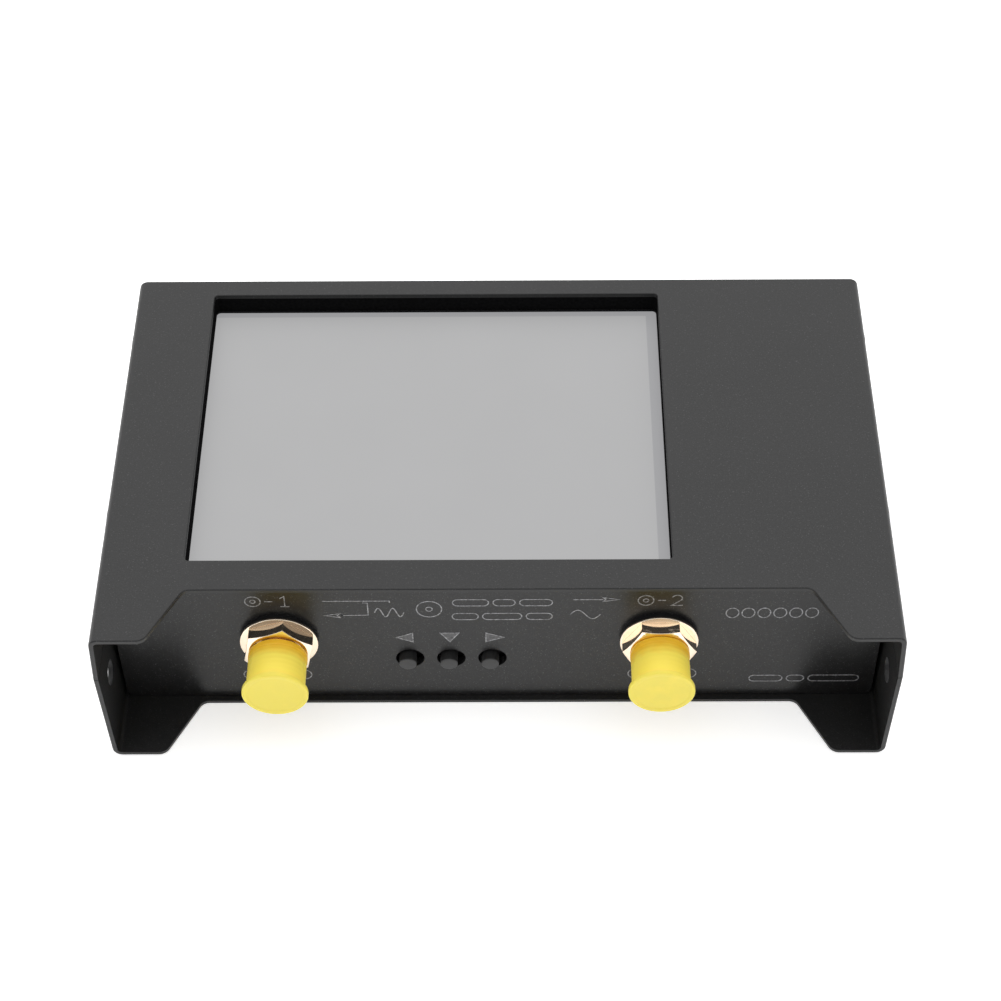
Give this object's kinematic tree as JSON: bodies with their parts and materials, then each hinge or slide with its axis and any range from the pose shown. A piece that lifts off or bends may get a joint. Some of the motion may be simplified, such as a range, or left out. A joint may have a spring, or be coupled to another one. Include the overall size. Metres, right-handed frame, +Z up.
{
  "type": "vector network analyzer",
  "caption": "Handheld bench instrument in a folded sheet-metal case, with a display window, coaxial ports under dust caps and push buttons in a notched front.",
  "frame": {"origin": "centre of the case's underside, on the surface that it stands on", "axes": "+Z up through the display, +X to the right of a user who faces the ports, ports face -Y"},
  "size_m": [0.0978, 0.0608, 0.0239],
  "materials": {
    "case_paint": "satin black powder coat with a fine texture",
    "panel_paint": "smooth semi-gloss black",
    "gold_plate": "bright gold plate",
    "ptfe": "waxy white",
    "cap_plastic": "soft translucent yellow",
    "black_plastic": "matt black",
    "switch_plastic": "matt black",
    "steel": "tinned steel",
    "black_steel": "black oxide",
    "aluminium_block": "machined",
    "gasket_foam": "closed-cell foam",
    "seal_rubber": "black nitrile rubber",
    "film": "frosted protective film",
    "touch_glass": "clear hard-coated",
    "lcd": "polariser",
    "light_guide": "clear acrylic",
    "ribbon": "amber polyimide",
    "board_resin": "green solder mask",
    "nylon": "natural nylon",
    "cell_foil": "foil pouch",
    "wire_insulation": "silicone"
  },
  "bodies": {
    "case": {"backlight": "light_guide", "battery_board": "board_resin", "battery_cell": "cell_foil", "battery_header": "nylon", "battery_lead": "wire_insulation", "battery_pad": "gasket_foam", "battery_plug": "nylon", "board_screws": "black_steel", "board_standoffs": "aluminium_block", "bottom_cover": "case_paint", "cover_screws": "black_steel", "display_connector": "black_plastic", "display_flex": "ribbon", "display_gasket": "gasket_foam", "display_spacers": "nylon", "flange_washer_left": "gold_plate", "flange_washer_right": "gold_plate", "front_panel": "panel_paint", "lcd_frame": "steel", "lcd_glass": "lcd", "main_board": "board_resin", "memory_chip": "black_plastic", "port_contact_left": "gold_plate", "port_contact_right": "gold_plate", "port_insulator_left": "ptfe", "port_insulator_right": "ptfe", "port_jack_left": "gold_plate", "port_jack_right": "gold_plate", "port_nut_left": "gold_plate", "port_nut_right": "gold_plate", "power_switch_body": "switch_plastic", "processor_chip": "black_plastic", "protective_film": "film", "rear_blocks": "aluminium_block", "rear_panel": "panel_paint", "rear_panel_screws": "black_steel", "seal_ring_left": "seal_rubber", "seal_ring_right": "seal_rubber", "shield_can_left": "steel", "shield_can_right": "steel", "side_bracket_left_front": "steel", "side_bracket_left_rear": "steel", "side_bracket_right_front": "steel", "side_bracket_right_rear": "steel", "status_light_left": "light_guide", "status_light_right": "light_guide", "switch_domes": "steel", "tact_switch_centre": "switch_plastic", "tact_switch_left": "switch_plastic", "tact_switch_right": "switch_plastic", "top_cover": "case_paint", "touch_panel": "touch_glass", "usb_shell": "steel", "usb_tongue": "black_plastic"},
    "left_button": {"button_left": "black_plastic"},
    "centre_button": {"button_centre": "black_plastic"},
    "right_button": {"button_right": "black_plastic"},
    "left_cap": {"dust_cap_left": "cap_plastic"},
    "right_cap": {"dust_cap_right": "cap_plastic"},
    "power_knob": {"power_switch_knob": "black_plastic"}
  },
  "joints": [
    {"name": "left_button_press", "type": "slide", "parent": "case", "child": "left_button", "axis": [0, 1, 0], "range_m": [0, 0.00025], "stiffness_N_per_m": 4000},
    {"name": "centre_button_press", "type": "slide", "parent": "case", "child": "centre_button", "axis": [0, 1, 0], "range_m": [0, 0.00025], "stiffness_N_per_m": 4000},
    {"name": "right_button_press", "type": "slide", "parent": "case", "child": "right_button", "axis": [0, 1, 0], "range_m": [0, 0.00025], "stiffness_N_per_m": 4000},
    {"name": "left_cap_pull", "type": "slide", "parent": "case", "child": "left_cap", "axis": [0, -1, 0], "range_m": [0, 0.012]},
    {"name": "right_cap_pull", "type": "slide", "parent": "case", "child": "right_cap", "axis": [0, -1, 0], "range_m": [0, 0.012]},
    {"name": "power_switch_slide", "type": "slide", "parent": "case", "child": "power_knob", "axis": [1, 0, 0], "range_m": [0, 0.002]}
  ]
}
